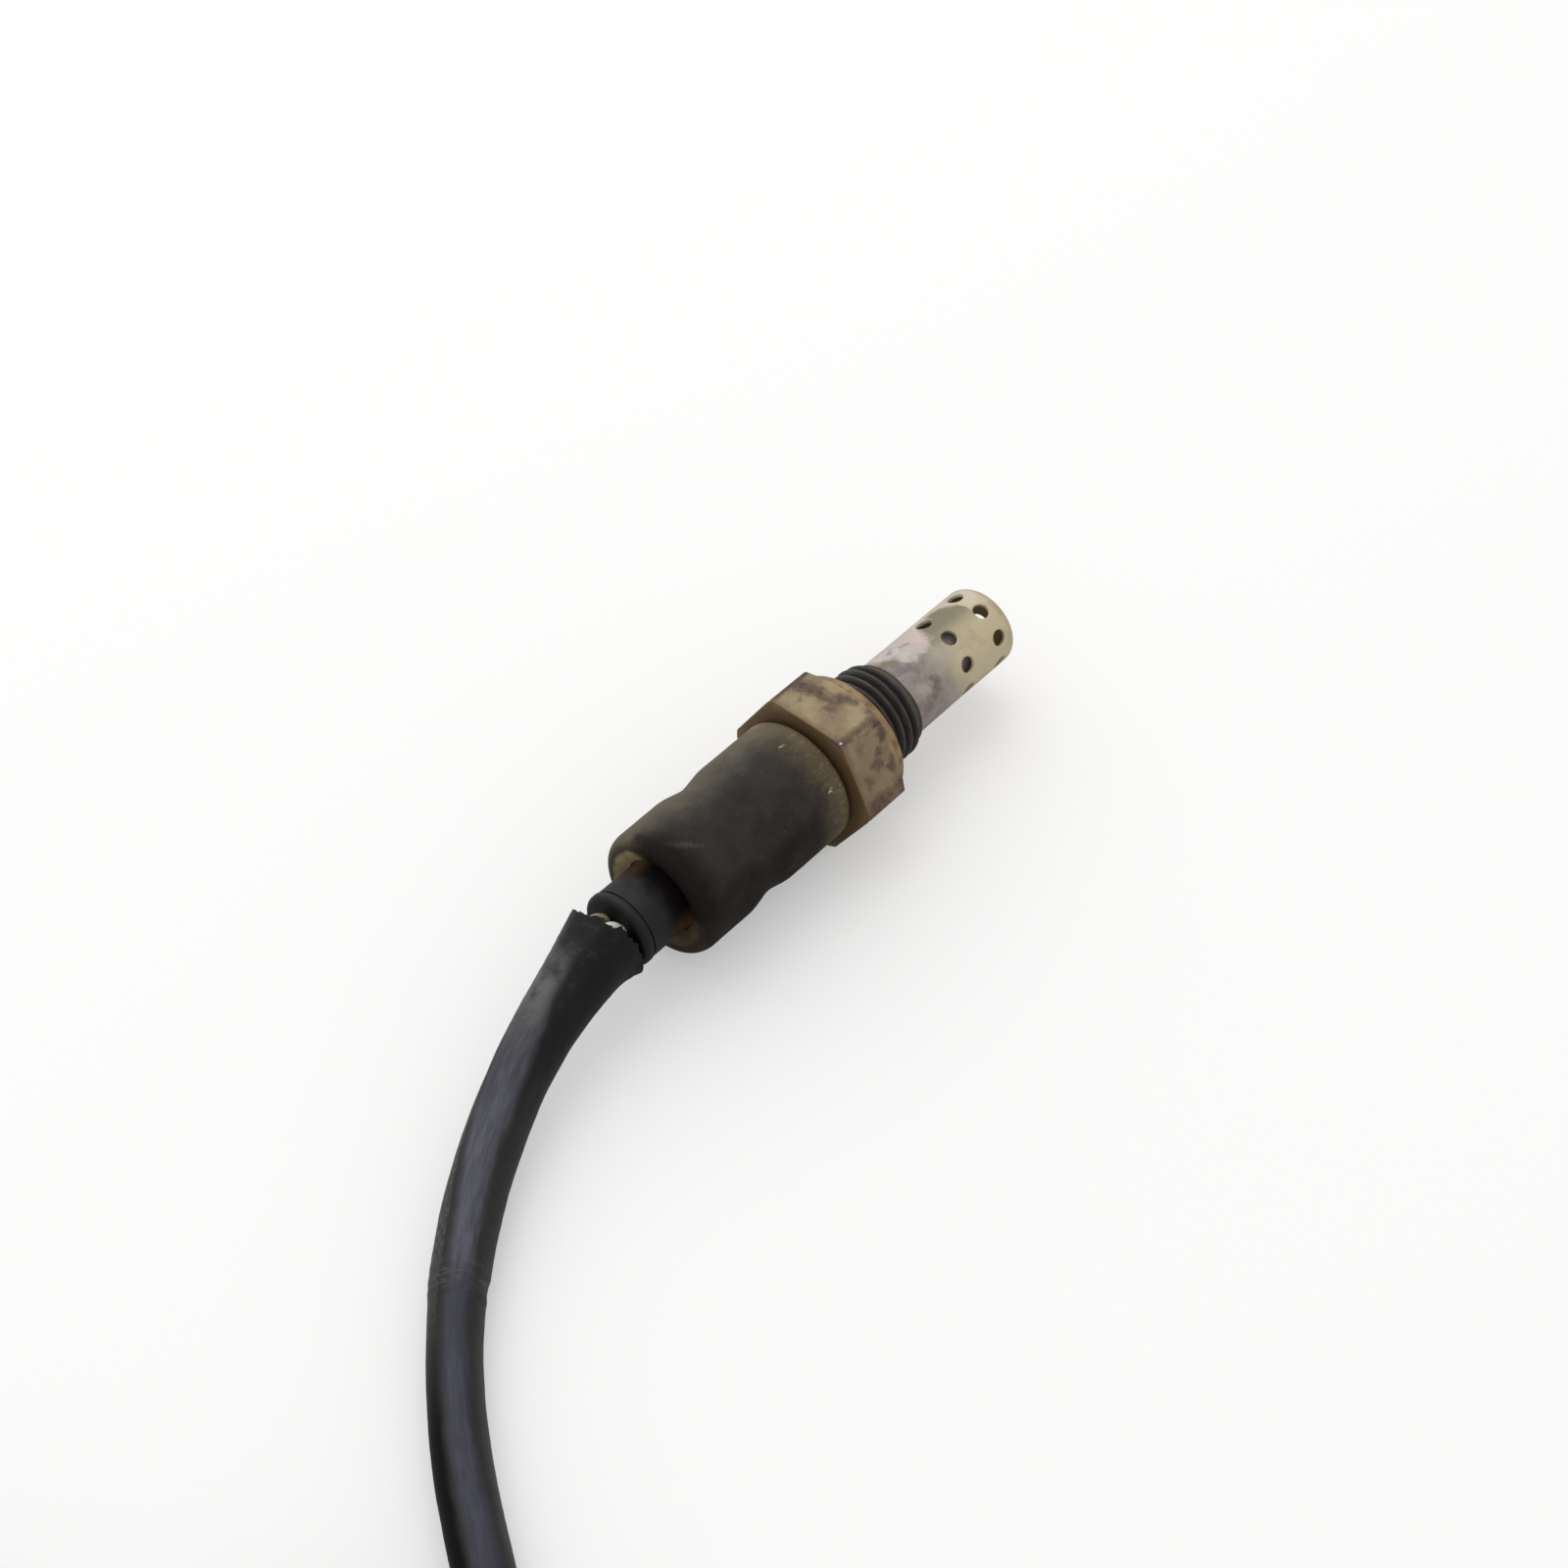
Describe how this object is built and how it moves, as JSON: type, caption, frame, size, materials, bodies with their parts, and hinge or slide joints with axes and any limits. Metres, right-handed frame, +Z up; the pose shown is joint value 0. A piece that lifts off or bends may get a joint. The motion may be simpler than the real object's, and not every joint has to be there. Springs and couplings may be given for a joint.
{
  "type": "oxygen sensor",
  "caption": "Heated exhaust oxygen sensor: perforated tip, threaded shell with hexagon and seat washer, rubber boot, torn cable end and sealed plug.",
  "frame": {"origin": "on the surface that the sensor lies on, under the middle of the sensor without its cable", "axes": "+X along the sensor axis towards the perforated tip, +Z up from the flat that it lies on"},
  "size_m": [0.1761, 0.0831, 0.017],
  "materials": {
    "shell_steel": "zinc-plated steel stained tan by heat and dirt",
    "washer_steel": "golden heat tint",
    "shield_steel": "heat-tinted stainless steel with pale deposits",
    "inner_steel": "stainless steel",
    "zirconia": "matt",
    "alumina": "matt",
    "talc": "pressed powder",
    "contact_steel": "spring steel",
    "terminal_metal": "tinned",
    "boot_rubber": "matt, dusty",
    "grommet_rubber": "matt",
    "cable_sheath": "satin",
    "wire_insulation": "satin",
    "tie_nylon": "nylon",
    "plug_plastic": "moulded",
    "retainer_plastic": "moulded",
    "seal_silicone": "silicone rubber"
  },
  "bodies": {
    "root": {"boot": "boot_rubber", "cable_coil": "cable_sheath", "cable_lead": "cable_sheath", "cable_tail": "cable_sheath", "casing": "inner_steel", "coil_tie": "tie_nylon", "crimp_ring": "inner_steel", "element_gasket": "inner_steel", "face_seal": "seal_silicone", "grommet": "grommet_rubber", "heater_rod": "alumina", "inner_contact": "contact_steel", "inner_shield": "inner_steel", "insulator_spring": "inner_steel", "lead_wire_1": "wire_insulation", "lead_wire_2": "wire_insulation", "lead_wire_3": "wire_insulation", "lead_wire_4": "wire_insulation", "outer_contact": "contact_steel", "outer_shield": "shield_steel", "packing_sleeve": "alumina", "plug_housing": "plug_plastic", "plug_terminal_1": "terminal_metal", "plug_terminal_2": "terminal_metal", "plug_terminal_3": "terminal_metal", "plug_terminal_4": "terminal_metal", "plug_wire_1": "wire_insulation", "plug_wire_2": "wire_insulation", "plug_wire_3": "wire_insulation", "plug_wire_4": "wire_insulation", "seat_washer": "washer_steel", "shell": "shell_steel", "talc_ring": "talc", "terminal_1": "contact_steel", "terminal_2": "contact_steel", "terminal_3": "contact_steel", "terminal_4": "contact_steel", "terminal_insulator": "alumina", "terminal_retainer": "retainer_plastic", "wire_seal_1": "seal_silicone", "wire_seal_2": "seal_silicone", "wire_seal_3": "seal_silicone", "wire_seal_4": "seal_silicone", "zirconia_element": "zirconia"}
  },
  "joints": []
}
